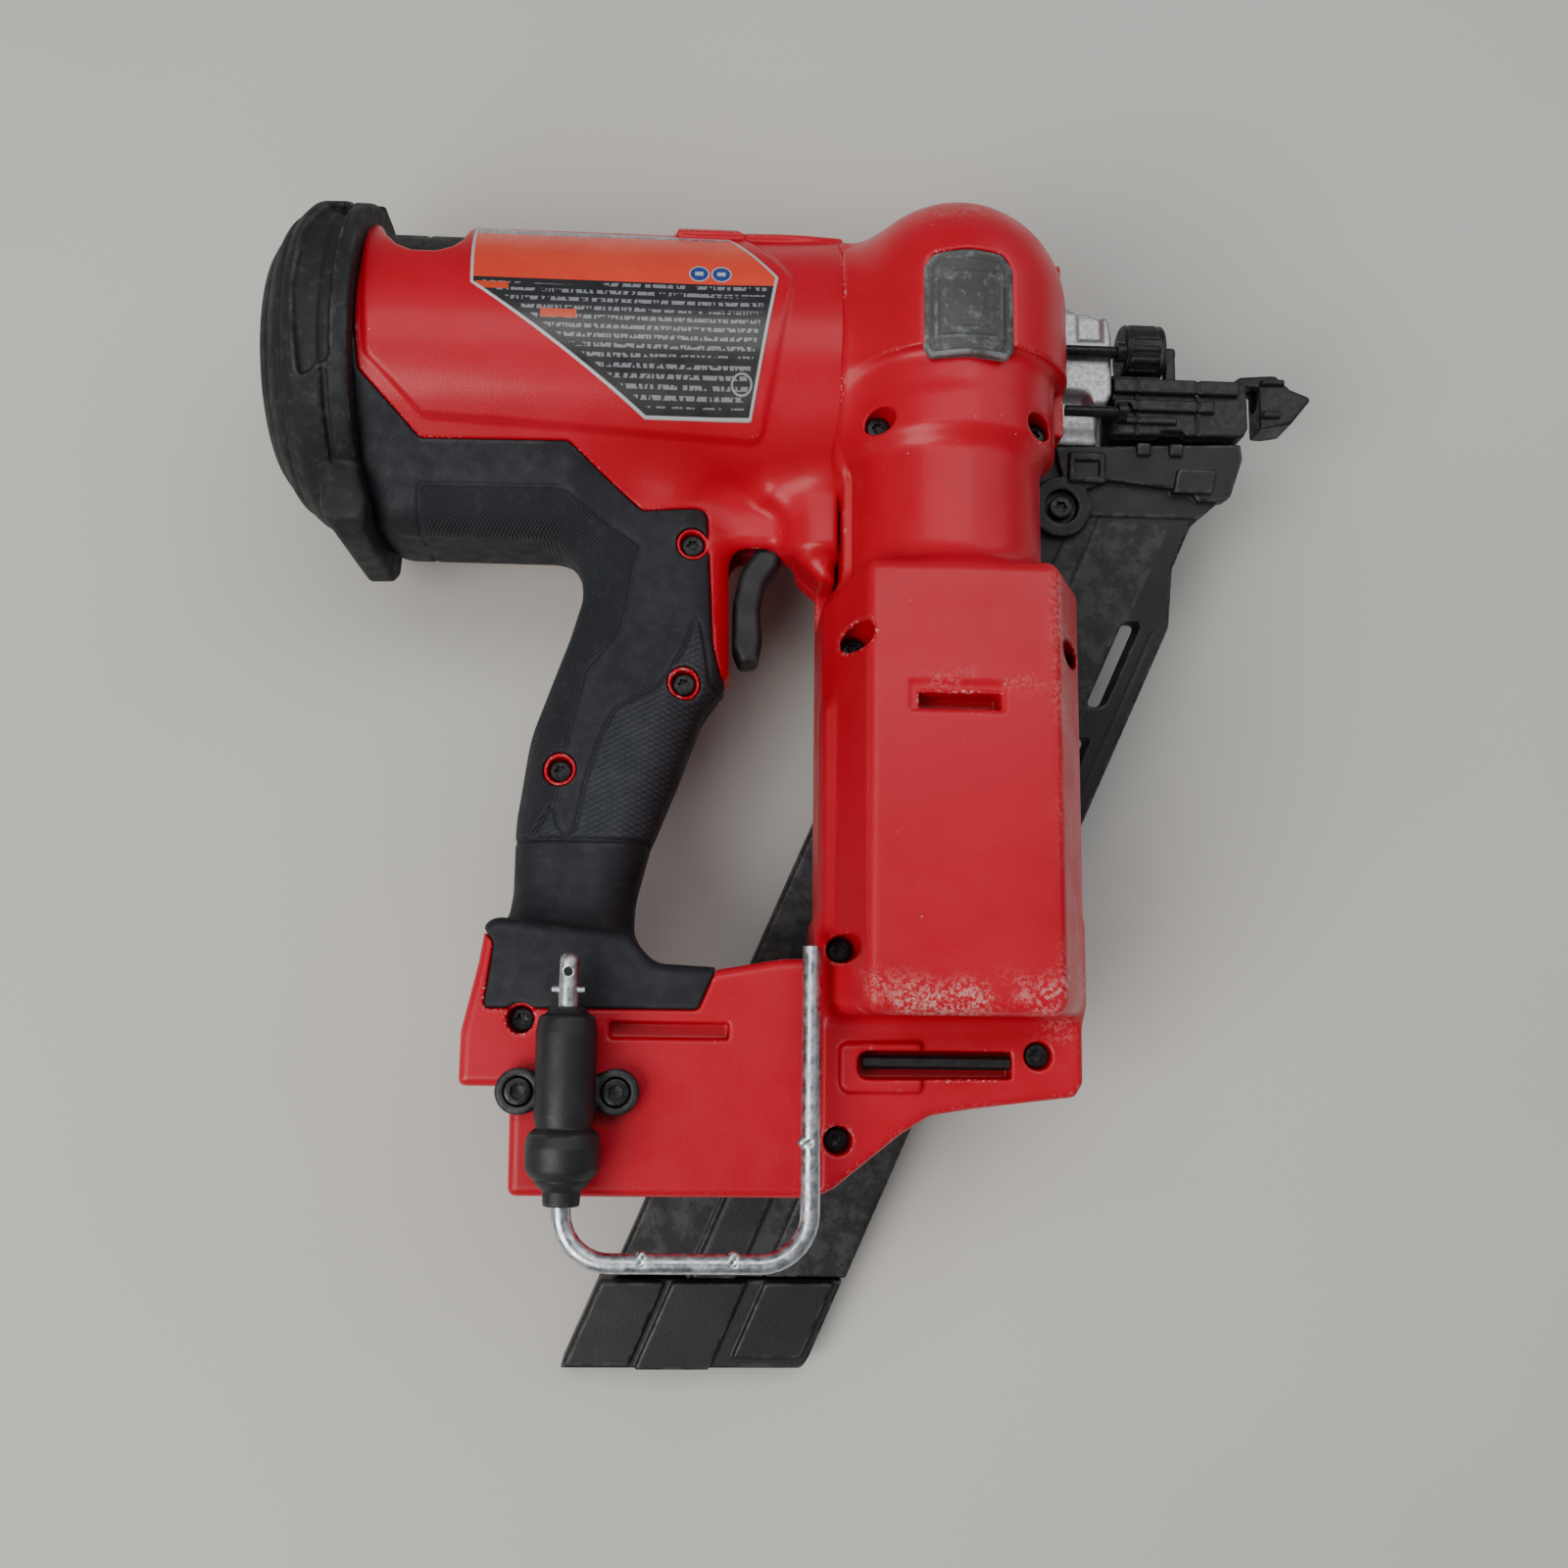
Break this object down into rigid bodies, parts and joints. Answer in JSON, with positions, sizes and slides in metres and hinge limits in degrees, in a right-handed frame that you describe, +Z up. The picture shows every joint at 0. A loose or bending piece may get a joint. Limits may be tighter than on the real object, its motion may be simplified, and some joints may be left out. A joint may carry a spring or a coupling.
{
  "type": "cordless framing nailer",
  "caption": "Battery-powered framing nailer lying on its side: round barrel with rubber end cap, curved grip, side motor tower, slanted strip magazine and wire rafter hook.",
  "frame": {"origin": "bottom centre of the tool's box as it lies on its right side", "axes": "+X is the firing direction, +Y runs from the handle up to the barrel, +Z points up out of the tool's left side"},
  "size_m": [0.3774, 0.4136, 0.129],
  "materials": {
    "red_plastic": "satin moulded",
    "black_plastic": "fine moulded texture",
    "black_rubber": "soft hatched grip",
    "worn_rubber": "worn grey",
    "zinc_wire": "zinc plated",
    "cast_aluminium": "as cast",
    "black_steel": "black phosphate",
    "bright_steel": "ground",
    "black_screw": "black oxide",
    "winding": "copper and laminations",
    "board": "potted board",
    "seal": "matt",
    "urethane": "amber urethane",
    "printed_label": "printed foil"
  },
  "bodies": {
    "housing": {"barrel_overmold_left": "black_rubber", "barrel_overmold_right": "black_rubber", "battery_rails": "black_plastic", "contact_spring": "bright_steel", "control_board": "board", "cover_screws": "black_screw", "cylinder": "bright_steel", "drive_frame": "cast_aluminium", "fill_valve": "bright_steel", "front_case": "red_plastic", "gas_tank": "cast_aluminium", "gearbox_case": "black_plastic", "grip_left": "black_rubber", "grip_right": "black_rubber", "hook_mount": "black_plastic", "hook_screws": "black_screw", "housing_left": "red_plastic", "housing_right": "red_plastic", "label": "printed_label", "lifter_bearing": "bright_steel", "magazine_body": "black_plastic", "magazine_end_cap": "black_plastic", "magazine_screw": "black_screw", "motor_bearings": "bright_steel", "motor_case": "red_plastic", "motor_cover": "red_plastic", "motor_end_bells": "cast_aluminium", "motor_stator": "winding", "nose_block": "cast_aluminium", "nose_screws": "black_screw", "nosepiece": "black_steel", "piston_bumper": "urethane", "rear_cap": "black_rubber", "ring_gear": "bright_steel", "shell_screws": "black_screw", "side_bumper_left": "worn_rubber", "side_bumper_right": "worn_rubber", "trigger_pin": "bright_steel", "trigger_spring": "bright_steel", "trigger_switch": "black_plastic"},
    "driver": {"driver_blade": "bright_steel", "piston": "bright_steel", "piston_seal": "seal"},
    "lifter": {"lifter_wheel": "bright_steel", "lifter_pins": "bright_steel", "planet_carrier": "bright_steel"},
    "rotor": {"motor_rotor": "winding", "sun_gear": "bright_steel", "motor_fan": "black_plastic"},
    "planet_1": {"planet_gear_1": "bright_steel"},
    "planet_2": {"planet_gear_2": "bright_steel"},
    "planet_3": {"planet_gear_3": "bright_steel"},
    "contact": {"workpiece_contact": "black_steel"},
    "depth_adjuster": {"depth_wheel": "black_steel"},
    "trigger": {"trigger": "black_plastic"},
    "follower": {"magazine_follower": "black_plastic", "follower_spring": "bright_steel"},
    "rafter_hook": {"hook": "zinc_wire", "hook_pin": "zinc_wire"},
    "stowed_key": {"hex_key": "black_steel"}
  },
  "joints": [
    {"name": "driver_slide", "type": "slide", "parent": "housing", "child": "driver", "axis": [1, 0, 0], "range_m": [0, 0.11]},
    {"name": "lifter_turn", "type": "hinge", "parent": "housing", "child": "lifter", "pos_m": [0.05125, 0.14735, 0.09], "axis": [0, 1, 0], "continuous": true},
    {"name": "rotor_turn", "type": "hinge", "parent": "housing", "child": "rotor", "pos_m": [0.05125, 0.01735, 0.09], "axis": [0, 1, 0], "continuous": true},
    {"name": "planet_1_turn", "type": "hinge", "parent": "lifter", "child": "planet_1", "pos_m": [0.06625, 0.09135, 0.09], "axis": [0, 1, 0], "continuous": true},
    {"name": "planet_2_turn", "type": "hinge", "parent": "lifter", "child": "planet_2", "pos_m": [0.04375, 0.09135, 0.10299], "axis": [0, 1, 0], "continuous": true},
    {"name": "planet_3_turn", "type": "hinge", "parent": "lifter", "child": "planet_3", "pos_m": [0.04375, 0.09135, 0.07701], "axis": [0, 1, 0], "continuous": true},
    {"name": "contact_slide", "type": "slide", "parent": "housing", "child": "contact", "axis": [-1, 0, 0], "range_m": [0, 0.0053], "stiffness_N_per_m": 600, "springref_m": -0.02},
    {"name": "depth_wheel_turn", "type": "hinge", "parent": "contact", "child": "depth_adjuster", "pos_m": [0.12675, 0.16465, 0.058], "axis": [1, 0, 0], "range_deg": [-360, 360]},
    {"name": "trigger_pull", "type": "hinge", "parent": "housing", "child": "trigger", "pos_m": [-0.01625, 0.08835, 0.058], "axis": [0, 0, 1], "range_deg": [-9, 0], "stiffness_Nm_per_rad": 0.6, "springref_deg": 20.05},
    {"name": "follower_slide", "type": "slide", "parent": "housing", "child": "follower", "axis": [-0.3908, -0.9109, -0.1329], "range_m": [0, 0.24], "stiffness_N_per_m": 30, "springref_m": -0.3},
    {"name": "hook_swivel", "type": "hinge", "parent": "housing", "child": "rafter_hook", "pos_m": [-0.07275, -0.11265, 0.111], "axis": [0, 1, 0], "range_deg": [-180, 0]},
    {"name": "key_pull", "type": "slide", "parent": "housing", "child": "stowed_key", "axis": [0, 0, 1], "range_m": [0, 0.012]}
  ],
  "couplings": [
    {"joint": "lifter_turn", "follows": "driver_slide", "rad_per_m": -41.667},
    {"joint": "rotor_turn", "follows": "driver_slide", "rad_per_m": -208.33},
    {"joint": "planet_1_turn", "follows": "driver_slide", "rad_per_m": 111.11},
    {"joint": "planet_2_turn", "follows": "driver_slide", "rad_per_m": 111.11},
    {"joint": "planet_3_turn", "follows": "driver_slide", "rad_per_m": 111.11}
  ]
}
